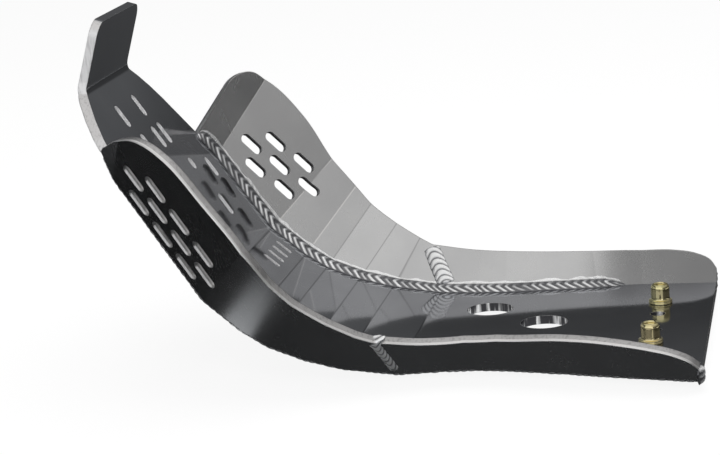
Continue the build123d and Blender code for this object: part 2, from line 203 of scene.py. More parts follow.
CAMERA_AHEAD = Vector((0.19694864, -0.95432569, -0.22466356))


class SkidSheetSettings(bpy.types.PropertyGroup):
    """Finish of the bent plate."""

    plate_colour: FloatVectorProperty(
        name="Plate", description="Colour of the centre plate", default=FINISHES["plate_sheet"], **COLOUR)
    plate_roughness: FloatProperty(
        name="Roughness", description="Roughness of the polished plate", default=0.065, min=0.02, max=1,
        subtype="FACTOR")
    plate_shade: FloatProperty(
        name="Shade", description="How bright the polish mirrors", default=1.0, min=0.1, max=1,
        subtype="FACTOR")
    edge_round: FloatProperty(
        name="Edge rounding", description="Radius that the deburred edges catch light over", default=0.0007,
        min=0, max=0.003, unit="LENGTH")


class SkidSideSettings(bpy.types.PropertyGroup):
    """Shape and finish of the wings and rails."""

    wing_colour: FloatVectorProperty(
        name="Wings", description="Colour of the front wings", default=FINISHES["wing_sheet"], **COLOUR)
    rail_colour: FloatVectorProperty(
        name="Rails", description="Colour of the rear rails", default=FINISHES["rail_sheet"], **COLOUR)
    roughness: FloatProperty(
        name="Roughness", description="Roughness of the satin sheet", default=0.26, min=0.02, max=1,
        subtype="FACTOR")
    rim_round: FloatProperty(
        name="Rim rounding", description="Radius of the edges of the rims", default=0.0006, min=0.0001,
        max=0.002, unit="LENGTH")


class SkidBeadSettings(bpy.types.PropertyGroup):
    """Shape and finish of the weld beads."""

    colour: FloatVectorProperty(
        name="Bead", description="Colour of clean weld metal", default=FINISHES["weld"], **COLOUR)
    pitch: FloatProperty(
        name="Ripple pitch", description="Length of one ripple", default=0.0052, min=0.001, max=0.01,
        unit="LENGTH")
    leg: FloatProperty(
        name="Bead leg", description="Reach of the inner bead up each sheet", default=0.0050, min=0.001,
        max=0.01, unit="LENGTH")
    rise: FloatProperty(
        name="Bead rise", description="Height of the bead over its chord", default=0.0015, min=0,
        max=0.004, unit="LENGTH")


class SkidNutSettings(bpy.types.PropertyGroup):
    """Shape and finish of the rivet nuts."""

    colour: FloatVectorProperty(
        name="Zinc", description="Colour of the yellow zinc", default=FINISHES["zinc_nut"], **COLOUR)
    thread_pitch: FloatProperty(
        name="Thread pitch", description="Pitch of the thread", default=0.00125, min=0.0005, max=0.003,
        unit="LENGTH")


class SkidStageSettings(bpy.types.PropertyGroup):
    """Light and camera."""

    key_power: FloatProperty(
        name="Key", description="Power of the overhead soft box", default=14.0, min=0, max=100,
        unit="POWER")
    fill_power: FloatProperty(
        name="Fill", description="Power of the soft box beside the camera", default=7.0, min=0, max=100,
        unit="POWER")
    lens: FloatProperty(
        name="Lens", description="Focal length", default=119.563, min=10, max=300, unit="CAMERA")


def unit(rows):
    """Rows divided by their lengths."""
    return rows / np.linalg.norm(rows, axis=-1, keepdims=True)


def reach_along(path):
    """Length along a path from its first point to each point."""
    return np.concatenate([[0.0], np.cumsum(np.linalg.norm(np.diff(path, axis=0), axis=1))])


def flat_top(foot, top, next_foot, lean):
    """Top of the next fold: forward and up from its foot, then out until it lies in the facet behind it."""
    normal = np.cross(next_foot - foot, top - foot)
    raised = next_foot + (lean[0], 0.0, lean[1])
    return raised - (0.0, (raised - foot) @ normal / normal[1], 0.0)


def joint_line(side, rear_half, rail, panel, nose):
    """Feet and tops of the stations of one welded joint, rear to front, with the rim between two stations.

    On the rail a foot is a run and an inset from the rear corner, and its top is the foot plus the lean.
    On the belly the feet are the sums of the facets, and every facet is flat. The panel holds the foot line
    and is flared from square to the plate. The nose holds its own foot line and the end of the panel.
    """
    turn = np.array([1.0, side, 1.0])
    level = np.full(len(rail), SHEET)
    feet = np.stack([REAR_EDGE + rail[:, 0], rear_half - rail[:, 1], level], axis=1) * turn
    tops = feet + rail[:, 2:] * turn
    bends = np.cumsum(np.vstack([(REAR_EDGE + BASE_RUN, SHEET), BELLY_FACETS]), axis=0)
    halves = np.append(SEAM_HALF, np.full(len(BELLY_FACETS), BELLY_HALF))
    belly = np.stack([bends[:, 0], halves, bends[:, 1]], axis=1) * turn
    folds = [belly[0] + SEAM_LEAN * turn]
    for k, lean in enumerate(FOLD_LEANS):
        folds.append(flat_top(belly[k], folds[k], belly[k + 1], lean))
    along = unit(np.array([1.0, -PANEL_TAPER * side, FRONT_SLOPE]))
    square = unit(np.array([-FRONT_SLOPE, 0.0, 1.0]))
    climb = square * math.cos(PANEL_FLARE) + np.cross(square, along) * (side * math.sin(PANEL_FLARE))
    corner = belly[-1]
    line = np.cross(np.cross(corner - belly[-2], folds[-1] - belly[-2]), np.cross(along, climb))
    folds.append(corner + line * (panel["fold"] / (line @ climb)))
    panel_foot = corner + along * panel["length"]
    panel_rim = corner + panel["rim"] @ np.stack([along, climb])
    ahead = FRONT_RUN - nose["behind_tab"]
    nose_foot = np.array([bends[-1, 0] + ahead, nose["half"] * side, bends[-1, 1] + ahead * FRONT_SLOPE])
    nose_along = unit(nose_foot - panel_foot)
    nose_climb = unit(np.cross(np.cross(nose_along, panel_rim[-1] - panel_foot), nose_along))
    nose_rim = panel_foot + nose["rim"] @ np.stack([nose_along, nose_climb])
    return {
        "side": side,
        "feet": np.vstack([feet, belly, panel_foot, nose_foot]),
        "tops": np.vstack([tops, folds, panel_rim[-1], nose_rim[-1]]),
        "rims": {PANEL_STATION: panel_rim[:-1], PANEL_STATION + 1: nose_rim[:-1]},
        "panel": (corner, along, climb),
    }


def both_joints():
    """Title, stations and panel of the left and of the right side."""
    left = joint_line(1.0, LEFT_REAR_HALF, LEFT_RAIL, LEFT_PANEL, LEFT_NOSE)
    right = joint_line(-1.0, RIGHT_REAR_HALF, RIGHT_RAIL, RIGHT_PANEL, RIGHT_NOSE)
    return (("left", left, LEFT_PANEL), ("right", right, RIGHT_PANEL))


def mitred(normals):
    """Steps at the stations of a folded line: the mean of two normals, over its cosine to one of them."""
    before = np.vstack([normals[:1], normals])
    after = np.vstack([normals, normals[-1:]])
    mean = unit(before + after)
    return mean * (SHEET / np.sum(mean * after, axis=1, keepdims=True))


def outward(feet, tops, side):
    """Steps through the side sheet: a facet's normal is its run crossed with its rise, turned outward."""
    runs = np.diff(feet, axis=0) + np.diff(tops, axis=0)
    rises = (tops - feet)[:-1] + (tops - feet)[1:]
    normals = unit(np.cross(runs, rises))
    return mitred(normals * np.sign(normals[:, 1:2] * side))


def downward(feet):
    """Steps through the plate: a facet's normal in side view is its run turned down by a quarter turn."""
    runs = np.diff(feet, axis=0)
    normals = unit(np.stack([runs[:, 2], np.zeros(len(runs)), -runs[:, 0]], axis=1))
    return mitred(normals)


def carried(path, columns, step):
    """Columns of vectors at the stations of a path, carried to even steps along it and eased at corners."""
    reach = reach_along(path)
    count = max(int(reach[-1] / step), LEAST_SAMPLES)
    run = np.linspace(0.0, reach[-1], count)
    kernel = EASE_WINDOW / EASE_WINDOW.sum()
    pad = len(kernel) // 2
    eased = []
    for column in columns:
        line = np.stack([np.interp(run, reach, column[:, k]) for k in range(3)], axis=1)
        head = 2 * line[:1] - line[pad:0:-1]
        tail = 2 * line[-1:] - line[-2:-pad - 2:-1]
        long = np.vstack([head, line, tail])
        eased.append(np.stack([np.convolve(long[:, k], kernel, "valid") for k in range(3)], axis=1))
    return run, eased


def bead_grid(run, columns, form, seed):
    """Closed rings of a weld bead, and the marks of their points.

    Across, a point goes from one edge to the other on a straight chord and rises over it by a parabola.
    Along, the rise is scaled by a power of the absolute sine of a phase that is ahead at the edges, so that
    every ripple is an arrow or a crescent, and by a strength drawn for each ripple. Over the tips the width
    shrinks and the middle sinks towards the root. A toe, where there is one, spreads on the sheet past the
    second edge with a wandering border. Three hidden points close the ring inside the sheets. The mark is
    the ripple, which the material paints as painted highlight on the crests and painted shade in the
    valleys;
    it fades to the edges by the parabola and the hem, and is darker on the second half by painted shade.
    """
    root, edge_a, edge_b, crown, *toes = (column[:, None, :] for column in columns)
    across = np.linspace(0.0, 1.0, BEAD_POINTS)[None, :]
    draw = np.random.default_rng(seed)
    drift = draw.normal(0.0, 1.0, (2, len(run)))
    strengths = draw.uniform(form["weak"], 1.0, STRENGTHS)
    wander, border = (
        np.convolve(row, window, "same")[:, None] for row, window in zip(drift, DRIFT_WINDOWS))
    arm = ((2 * (across - form["high"]) - 1) ** 2 + form["soft"]) ** form["bend"]
    phase = run[:, None] / form["pitch"] + RIPPLE_DRIFT * wander + form["arrow"] * arm
    own = strengths[np.floor(phase).astype(int) % STRENGTHS]
    ripple = own * np.abs(np.sin(math.pi * phase)) ** form["keen"]
    bulge = 4 * across * (1 - across)
    first, last = form["tips"]
    start = np.clip(run / first, 0.03, 1) ** 0.8
    finish = np.sqrt(np.clip((run[-1] - run) / last, 0.001, 1))
    taper = np.minimum(start, finish)[:, None]
    width = taper * (0.95 + 0.06 * ripple + 0.03 * wander)
    middle = (edge_a + edge_b) / 2
    middle = middle + (root - middle) * (0.8 * (1 - taper))[..., None]
    chord = middle + (edge_a - edge_b) * ((0.5 - across) * width)[..., None]
    lift = form["rise"] * taper * bulge ** 0.85 * (0.40 + 0.60 * ripple)
    rings = [chord + crown * (lift - BEAD_SINK)[..., None]]
    # Painted shade: the second half of the bead is darkened by the shade of its form.
    shade = 1 - form["shade"] * np.clip(3.0 * across - 1.5, 0, 1)
    marks = [ripple * np.clip(bulge * form["border"] + form["hem"], 0, 1) * shade]
    for toe in toes:
        spread = TOE_REACH * np.sqrt(taper) * (1.0 + TOE_DRIFT * border)
        flat = rings[0][:, -1:, :] + toe * spread[..., None]
        rings.append(flat + crown * TOE_LIFT)
        marks.append(np.full(spread.shape, TOE_MARK))
    sunk_b, sunk_a = (edge * 0.7 + root * 0.3 - crown * 0.5 for edge in (edge_b, edge_a))
    hidden = np.concatenate([sunk_b, root, sunk_a], axis=1)
    rings.append(middle + (hidden - middle) * np.maximum(taper, 0.05)[..., None])
    marks.append(np.zeros(hidden.shape[:2]))
    return np.concatenate(rings, axis=1), np.concatenate(marks, axis=1)


def joint_beads(joint, leg, rise, pitch):
    """Rings of every bead of one side: inner corner, outer corner, over the butt joint, and rear corner.

    Each bead has a path and columns along it: root, first edge, second edge, crown and maybe a toe.
    """
    feet, tops, side = joint["feet"], joint["tops"], joint["side"]
    climb = unit(tops - feet)
    inward = np.tile([0.0, -side, 0.0], (len(feet), 1))
    outs = outward(feet, tops, side)
    downs = downward(feet)

    crown = unit(climb + inward)
    columns = [feet - crown * 0.8, feet + inward * leg, feet + climb * leg, crown, climb * TOE_LENGTH]
    used = slice(INNER_BEAD_STATION, None)
    inner = (feet[used], [column[used] for column in columns], dict(INNER_BEAD, rise=rise, pitch=pitch))

    crown = unit(downs + outs)
    columns = [feet + crown * 0.5, feet + downs * 0.96, feet + outs * 0.96, crown]
    outer = (feet, columns, dict(OUTER_BEAD, rise=rise * 0.8, pitch=pitch * 0.8))

    k = SEAM_STATION
    out, up, skin = outs[k], climb[k], unit(outs[k])
    ahead, behind = (unit(run - up * (run @ up)) for run in (feet[k + 1] - feet[k], feet[k - 1] - feet[k]))
    line = feet[k] + SEAM_SHARES * (tops[k] - feet[k])
    leaning = line + behind * (SEAM_BACK - SEAM_TILT * SEAM_SHARES)
    sink = 1.6 - 0.8 * side
    over = tops[k] - up * sink + np.array([[0.2], [0.8]]) * out
    path = np.vstack([leaning, over, line[::-1] + out])
    rows = len(line)
    turning = [-skin, unit(up - 0.6 * skin), unit(up + 0.6 * skin), skin]
    crown = np.repeat(turning, [rows, 1, 1, rows], axis=0)
    half = leg * np.repeat([1.12, 1.1 + 0.3 * side, 0.6], [rows, len(over), rows])[:, None]
    columns = [path - crown * 0.9, path + ahead * half, path + behind * half, crown]
    seam = (path, columns, dict(SEAM_BEAD, rise=rise * 1.1, pitch=pitch * 0.80))

    back = np.array([-1.0, 0.0, 0.0])
    low = feet[0] + outs[0] * 0.3 + downs[0] * 0.9
    path = np.stack([tops[0] + outs[0] * 0.5, feet[0] + outs[0] * 0.5, low])
    wide = unit(outs[0]) * (3.2 + 1.2 * side)
    columns = [path - back * 1.2, path + wide, path - wide, np.tile(back, (3, 1))]
    rear = (path, columns, dict(REAR_BEAD, rise=rise * (1.5 + 0.9 * side), pitch=pitch * 0.9))

    beads = []
    for seed, (path, columns, form) in enumerate((inner, outer, seam, rear), FIRST_SEED):
        run, eased = carried(path, columns, pitch / RIPPLE_SAMPLES)
        beads.append(bead_grid(run, eased, form, seed))
    return beads


def rim_corners(joint, first, last):
    """Corners of the rim from one station to another, with the foot below and the step through the sheet.

    A corner between two stations takes its foot and step at its share of the length of the rim there.
    """
    feet, tops = joint["feet"], joint["tops"]
    outs = outward(feet, tops, joint["side"])
    rows = []
    for k in range(first, last):
        rim = np.vstack([tops[k], joint["rims"].get(k, np.zeros((0, 3))), tops[k + 1]])
        share = reach_along(rim)
        share = (share / share[-1])[:-1, None]
        low, out = (ends[k] + share * (ends[k + 1] - ends[k]) for ends in (feet, outs))
        rows.append((rim[:-1], low, out))
    rows.append((tops[last], feet[last], outs[last]))
    return [np.vstack(column) for column in zip(*rows)]


def bowed_rim(rim, low):
    """Rim through its corners, and the places of its points: a cubic bow over each chord, in the facet.

    The turn of the rim at a corner is half a circle less the two angles at the fold line, as in the flat
    sheet. The two chords beside the corner share the turn by their lengths, so the bows meet smoothly.
    """
    chords = np.diff(rim, axis=0)
    length = np.linalg.norm(chords, axis=1)
    ahead = chords / length[:, None]
    up = unit(rim - low)
    turn = np.zeros(len(rim))
    behind = np.sum(ahead[:-1] * up[1:-1], axis=1)
    before = np.sum(-ahead[1:] * up[1:-1], axis=1)
    turn[1:-1] = math.pi - np.arccos(behind) - np.arccos(before)
    lead = turn[:-1] * length / (length + np.append(length[0], length[:-1]))
    trail = turn[1:] * length / (length + np.append(length[1:], length[-1]))
    square = unit(up[:-1] - ahead * np.sum(up[:-1] * ahead, axis=1, keepdims=True))
    near_fold = np.minimum(FOLD_WIDTH / length, 0.07)[:, None]
    even = np.tile(np.linspace(0, 1, 12)[1:-1], (len(length), 1))
    u = np.sort(np.concatenate([np.zeros_like(near_fold), near_fold, even, 1 - near_fold], axis=1), axis=1)
    bow = np.tan(lead)[:, None] * u * (1 - u) ** 2 + np.tan(trail)[:, None] * u ** 2 * (1 - u)
    bow = bow * length[:, None]
    line = rim[:-1, None] + chords[:, None] * u[..., None] + square[:, None] * bow[..., None]
    return np.vstack([line.reshape(-1, 3), rim[-1:]]), u


def between(rows, u):
    """Rows carried along with the points of the rim between its corners."""
    line = rows[:-1, None] + (rows[1:] - rows[:-1])[:, None] * u[..., None]
    return np.vstack([line.reshape(-1, 3), rows[-1:]])


def sheet_rings(joint, first, last, rounding):
    """Rim of a side sheet between two stations, and closed rings across the sheet along that rim.

    A ring goes up the inner face, over the rounded edges of the rim and down the outer face. An edge is
    rounded by three points of a quarter circle, whose middle one lies 0.29 of the radius from both faces.
    A row 2.5 radii below each edge keeps the shading of the face flat, and one on the cut begins the
    painted highlight line.
    """
    corners, feet, steps = rim_corners(joint, first, last)
    rim, u = bowed_rim(corners, feet)
    low, out = between(feet, u), between(steps, u)
    climb = unit(rim - low) * rounding
    skin = unit(out) * rounding
    half = low + (rim - low) * 0.5
    under, below, edge = rim - climb * 2.5, rim - climb, rim - climb * 0.29
    inner = [low, half, under, below, edge + skin * 0.29, rim + skin]
    outer = [rim - out * HIGHLIGHT_LINE_SHARE, rim - skin, edge - skin * 0.29, below, under, half, low]
    return rim, np.stack(inner + [row + out for row in outer], axis=1)


def slot_rings(joint, panel):
    """Closed prisms of the slots: two half circles joined by straights, drawn through the panel."""
    corner, along, climb = joint["panel"]
    length, width, turned = panel["slot"]
    angle = np.linspace(0, math.pi, 15) - math.pi / 2
    end = np.stack([np.cos(angle), np.sin(angle)], axis=1) * width / 2 + (length / 2 - width / 2, 0.0)
    outline = np.vstack([end, -end])
    c, s = math.cos(math.radians(turned)), math.sin(math.radians(turned))
    outline = outline @ np.array([[c, s], [-s, c]])
    through = np.cross(along, climb) * SLOT_REACH
    prisms = []
    for x, y, count in panel["rows"]:
        middles = np.array([x, y]) + np.arange(count)[:, None] * panel["step"]
        for middle in middles:
            ring = corner + (outline + middle) @ np.stack([along, climb])
            prisms.append(np.stack([ring - through, ring + through]))
    return prisms


def mesh_of_grids(name, grids, closed=False):
    """Smooth mesh of grids of rings in millimetres, each faced outward by the sign of its volume.

    Each ring joins the next with quads. A closed grid joins its last ring to the first, and an open one
    gets caps. All quads come first, in the order of the grids, and then the caps.
    """
    quads, caps, offset = [], [], 0
    for grid in grids:
        rows, cols, _ = grid.shape
        i = np.arange(rows if closed else rows - 1)[:, None]
        j = np.arange(cols)[None, :]
        k, m = (j + 1) % cols, (i + 1) % rows
        faces = np.stack([i * cols + j, i * cols + k, m * cols + k, m * cols + j], axis=-1).reshape(-1, 4)
        ends = [] if closed else [np.arange(cols)[::-1], np.arange(cols) + (rows - 1) * cols]
        a, b, c, d = (grid.reshape(-1, 3)[faces[:, n]] for n in range(4))
        if np.sum(np.cross(a, b) * c) + np.sum(np.cross(a, c) * d) < 0:
            faces, ends = faces[:, ::-1], [end[::-1] for end in ends]
        quads.append(faces + offset)
        caps += [(end + offset).tolist() for end in ends]
        offset += rows * cols
    points = np.vstack([grid.reshape(-1, 3) for grid in grids]) * MM
    mesh = bpy.data.meshes.new(name)
    mesh.from_pydata(points.tolist(), [], np.vstack(quads).tolist() + caps)
    mesh.polygons.foreach_set("use_smooth", np.ones(len(mesh.polygons), bool))
    mesh.update()
    return mesh


def mark_mesh(mesh, name, domain, rows):
    """Attribute of a mesh for its material, from one array for each grid."""
    layer = mesh.attributes.new(name, "FLOAT", domain)
    values = np.concatenate([row.reshape(-1) for row in rows])
    layer.data.foreach_set("value", values.astype(np.float32))


def side_mesh(name, grids, cut, smooth, crease=0.0):
    """One mesh of closed rings with caps, with the cut faces and the fold lines marked for the material."""
    mesh = mesh_of_grids(name, grids)
    mark_mesh(mesh, "crease", "POINT", [np.broadcast_to(crease, grid.shape[:2]) for grid in grids])
    faces = np.concatenate([np.tile(cut, len(grid) - 1) for grid in grids] + [np.ones(2 * len(grids))])
    mark_mesh(mesh, "cut", "FACE", [faces])
    mesh.polygons.foreach_set("use_smooth", (faces > 0.5) | smooth)
    return mesh


def placed(name, data):
    """New object in the scene."""
    made = bpy.data.objects.new(name, data)
    bpy.context.scene.collection.objects.link(made)
    return made


def cut_slots(mesh, prisms):
    """Mesh without the slots, by an exact boolean."""
    tool_mesh = side_mesh("slot_tool", prisms, np.ones(prisms[0].shape[1]), True)
    body, tool = (placed(data.name, data) for data in (mesh, tool_mesh))
    step = body.modifiers.new("slots", "BOOLEAN")
    step.object = tool
    step.operation = "DIFFERENCE"
    step.solver = "EXACT"
    result = bpy.data.meshes.new_from_object(body.evaluated_get(bpy.context.evaluated_depsgraph_get()))
    for made in (body, tool):
        bpy.data.objects.remove(made)
    if len(result.polygons) <= len(mesh.polygons):
        raise RuntimeError("the slots were not cut in " + mesh.name)
    return result


def nut_rings(thread_pitch):
    """Rings of one rivet nut: a closed outline of radius and height is turned about the vertical axis.

    The outline goes down the thread, whose radius swings by a triangle wave of the pitch, round under the
    flange, up the body, over the crushed ring and round the top.
    """
    height = np.linspace(15.6, -0.5, 104)
    swing = np.abs(((height / thread_pitch) % 1.0) * 2 - 1)
    thread = np.stack([3.55 + 0.6 * swing, height], axis=1)
    outline = np.array([
        (4.3, -1.0), (4.8, -1.2), (7.4, -1.2), (7.85, -1.0), (8.0, -0.6), (8.0, -0.25), (7.8, 0.0),
        (5.5, 0.0), (5.5, 2.5), (5.5, 5.0), (6.55, 5.0), (6.9, 5.2), (7.0, 5.55), (7.0, 5.8), (6.85, 6.05),
        (6.7, 6.15), (6.7, 6.3), (6.85, 6.4), (6.95, 6.65), (6.9, 6.95), (6.6, 7.15), (6.0, 7.25),
        (5.7, 7.4), (5.52, 7.8), (5.5, 9.0), (5.5, 12.0), (5.5, 13.6), (5.45, 14.3), (5.3, 15.0),
        (5.03, 15.6), (4.7, 16.1), (4.45, 16.35), (4.25, 16.38), (4.12, 16.1),
    ])
    loop = np.vstack([thread, outline])
    turn = np.linspace(0, 2 * math.pi, 73)[:-1]
    x = loop[None, :, 0] * np.cos(turn)[:, None]
    y = loop[None, :, 0] * np.sin(turn)[:, None]
    z = np.broadcast_to(loop[None, :, 1], x.shape)
    return np.stack([x, y, z], axis=-1)


def add_piece(name, mesh, material, slot, *nodes):
    """Object at the origin for a finished mesh, riding on the one body and standing for its nodes."""
    piece = placed(name, mesh)
    piece.data.materials.append(material)
    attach(piece, "root")
    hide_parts(*nodes)


def node(tree, kind, entries=None, **settings):
    """New shader node with its settings, and with inputs that follow a socket or hold a value."""
    made = tree.nodes.new("ShaderNode" + kind)
    for key, value in settings.items():
        setattr(made, key, value)
    for key, value in (entries or {}).items():
        if isinstance(value, bpy.types.NodeSocket):
            tree.links.new(value, made.inputs[key])
        elif value is not None:
            made.inputs[key].default_value = value
    return made


def math_node(tree, operation, *values, clamp=False):
    """Math on sockets or numbers."""
    return node(tree, "Math", dict(enumerate(values)), operation=operation, use_clamp=clamp).outputs[0]


def chained(tree, operation, values):
    """Values joined one after the other by the same operation."""
    return reduce(lambda a, b: math_node(tree, operation, a, b), values)


def product(tree, *values):
    """Values multiplied."""
    return chained(tree, "MULTIPLY", values)


def largest(tree, *values):
    """Largest of some values."""
    return chained(tree, "MAXIMUM", values)


def rest(tree, value):
    """One less a value."""
    return math_node(tree, "SUBTRACT", 1.0, value)


def ramp(tree, value, low, high):
    """Value carried from low..high to 0..1 with soft ends."""
    entries = {"Value": value, "From Min": low, "From Max": high}
    return node(tree, "MapRange", entries, interpolation_type="SMOOTHSTEP").outputs["Result"]


def noise(tree, vector, scale, detail):
    """Noise texture on a vector."""
    return node(tree, "TexNoise", {"Vector": vector, "Scale": scale, "Detail": detail}).outputs["Fac"]


def mix_colour(tree, factor, a, b):
    """Mix of two colours, given as sockets or tuples."""
    return node(tree, "Mix", {0: factor, 6: a, 7: b}, data_type="RGBA").outputs[2]


def bump(tree, height, strength, distance, normal=None):
    """Normal bent by a height."""
    entries = {"Height": height, "Strength": strength, "Distance": distance, "Normal": normal}
    return node(tree, "Bump", entries).outputs["Normal"]


def object_place(tree):
    """Object coordinates."""
    return node(tree, "TexCoord").outputs["Object"]


def drawn_out(tree, vector, by):
    """Vector times another, so that a texture on it is drawn out."""
    return node(tree, "VectorMath", {0: vector, 1: by}, operation="MULTIPLY").outputs[0]


def split(tree, vector):
    """X, Y and Z of a vector."""
    return node(tree, "SeparateXYZ", {0: vector}).outputs


def attribute(tree, name):
    """Value of an attribute of the mesh."""
    return node(tree, "Attribute", attribute_name=name).outputs["Fac"]


def scaled(colour, *shares):
    """Opaque colour with its channels times their shares, at most one."""
    return (*(min(channel * share, 1.0) for channel, share in zip(colour, shares)), 1.0)


def new_group(name, inputs, outputs):
    """Shader node group with its inputs and outputs, and its inner sockets."""
    tree = bpy.data.node_groups.new(name, "ShaderNodeTree")
    for key, (kind, value) in inputs.items():
        made = tree.interface.new_socket(name=key, in_out="INPUT", socket_type="NodeSocket" + kind)
        made.default_value = value
    for key, kind in outputs.items():
        tree.interface.new_socket(name=key, in_out="OUTPUT", socket_type="NodeSocket" + kind)
    return tree, tree.nodes.new("NodeGroupInput").outputs, tree.nodes.new("NodeGroupOutput").inputs


def grain_group():
    """Rolled grain: noise drawn out along the roll, broad smudges, and scratches from bands of noise."""
    inputs = {"Stretch": ("Vector", PLATE_GRAIN), "Smudge Scale": ("Float", 26.0)}
    outputs = dict.fromkeys(("Streak", "Smudge", "Scratch", "Height"), "Float")
    tree, given, result = new_group("rolled_grain", inputs, outputs)
    place = object_place(tree)
    drawn = drawn_out(tree, place, given["Stretch"])
    streak = noise(tree, drawn, 1.0, 2.0)
    smudge = noise(tree, place, given["Smudge Scale"], 5.0)
    thin = math_node(tree, "ABSOLUTE", math_node(tree, "SUBTRACT", noise(tree, drawn, 0.23, 1.0), 0.5))
    patchy = ramp(tree, noise(tree, place, 41.0, 2.0), 0.52, 0.66)
    scratch = product(tree, rest(tree, ramp(tree, thin, 0.0, 0.012)), patchy)
    height = math_node(tree, "SUBTRACT", streak, product(tree, scratch, 0.6))
    for entry, value in zip(result, (streak, smudge, scratch, height)):
        tree.links.new(value, entry)


def edge_group():
    """Deburred edges: how far the normal of a rounded edge leaves the normal, and that rounded normal."""
    inputs = {"Radius": ("Float", 0.0007)}
    tree, given, result = new_group("deburred_edge", inputs, {"Edge": "Float", "Normal": "Vector"})
    rounded = node(tree, "Bevel", {"Radius": given["Radius"]}, samples=6).outputs["Normal"]
    normal = node(tree, "NewGeometry").outputs["Normal"]
    along = node(tree, "VectorMath", {0: rounded, 1: normal}, operation="DOT_PRODUCT").outputs["Value"]
    tree.links.new(ramp(tree, rest(tree, along), 0.03, 0.25), result["Edge"])
    tree.links.new(rounded, result["Normal"])


def use_group(tree, name, **values):
    """Outputs of a shared group with its own input values."""
    entries = {key.replace("_", " "): value for key, value in values.items()}
    return node(tree, "Group", entries, node_tree=bpy.data.node_groups[name]).outputs


def empty_tree(owner):
    """Node tree of a material or a world, emptied."""
    owner.use_nodes = True
    owner.node_tree.nodes.clear()
    return owner.node_tree


def new_material(name):
    """Material and its empty node tree."""
    material = bpy.data.materials.new(name)
    return material, empty_tree(material)


def metal(tree, tone, gloss, normal, **more):
    """Metal shader of a material, with its output."""
    entries = {"Base Color": tone, "Roughness": gloss, "Normal": normal, "Metallic": 1.0}
    entries.update((key.replace("_", " "), value) for key, value in more.items())
    shader = node(tree, "BsdfPrincipled", entries)
    node(tree, "OutputMaterial", {0: shader.outputs[0]})


def plate_marks(tree, edge_round):
    """Marks of the plate: cut faces, walls of holes for painted reflection streaks, matte walls of slots,
    press lines at the bends painted dark as shade, and rounded edges.

    A face is cut where its normal turns to the side, or where it stands upright at the rear edge. It is the
    wall of a hole where it stands upright on the flat base before that edge. A face that turns to the side
    is the wall of a slot, and matte, where it lies inside a slot zone.
    """
    edge = use_group(tree, "deburred_edge", Radius=edge_round)
    normal = split(tree, node(tree, "NewGeometry").outputs["True Normal"])
    place = split(tree, object_place(tree))
    aside = ramp(tree, math_node(tree, "ABSOLUTE", normal["Y"]), 0.30, 0.45)
    upright = rest(tree, ramp(tree, math_node(tree, "ABSOLUTE", normal["Z"]), 0.20, 0.35))
    base = math_node(tree, "LESS_THAN", place["X"], (REAR_EDGE + BASE_RUN) * MM)
    inside = math_node(tree, "GREATER_THAN", place["X"], (REAR_EDGE + 1.0) * MM)
    bored = product(tree, upright, base, inside)
    cut = largest(tree, aside, product(tree, upright, rest(tree, inside)), edge["Edge"])
    away = math_node(tree, "ABSOLUTE", place["Y"])
    zones = []
    for half, top in SLOT_ZONES:
        within = math_node(tree, "LESS_THAN", away, half * MM)
        zones.append(product(tree, within, math_node(tree, "LESS_THAN", place["Z"], top * MM)))
    matte = product(tree, aside, largest(tree, *zones), 0.6)
    bends = REAR_EDGE + BASE_RUN + np.append(0.0, np.cumsum(BELLY_FACETS[:, 0]))
    lines = [math_node(tree, "COMPARE", place["X"], float(bend) * MM, 0.0004) for bend in bends]
    # The dark lines at the bends are painted shade.
    return {"cut": cut, "tones": (0.62, 0.78), "matte": matte, "bored": bored,
            "dark": product(tree, largest(tree, *lines), 0.55), "normal": edge["Normal"]}


def side_marks(tree):
    """Marks of a side sheet from its mesh: cut faces, a painted highlight line, and fold lines, painted
    light as highlight where the crease is positive and dark as shade where it is negative.
    """
    found, crease = attribute(tree, "cut"), attribute(tree, "crease")
    return {
        "cut": math_node(tree, "MINIMUM", found, 1.0), "tones": (0.40, 0.54),
        "line": math_node(tree, "SUBTRACT", found, 1.0, clamp=True),
        "dark": math_node(tree, "MULTIPLY", crease, -0.45, clamp=True),
        "light": math_node(tree, "MULTIPLY", crease, 0.9, clamp=True),
    }


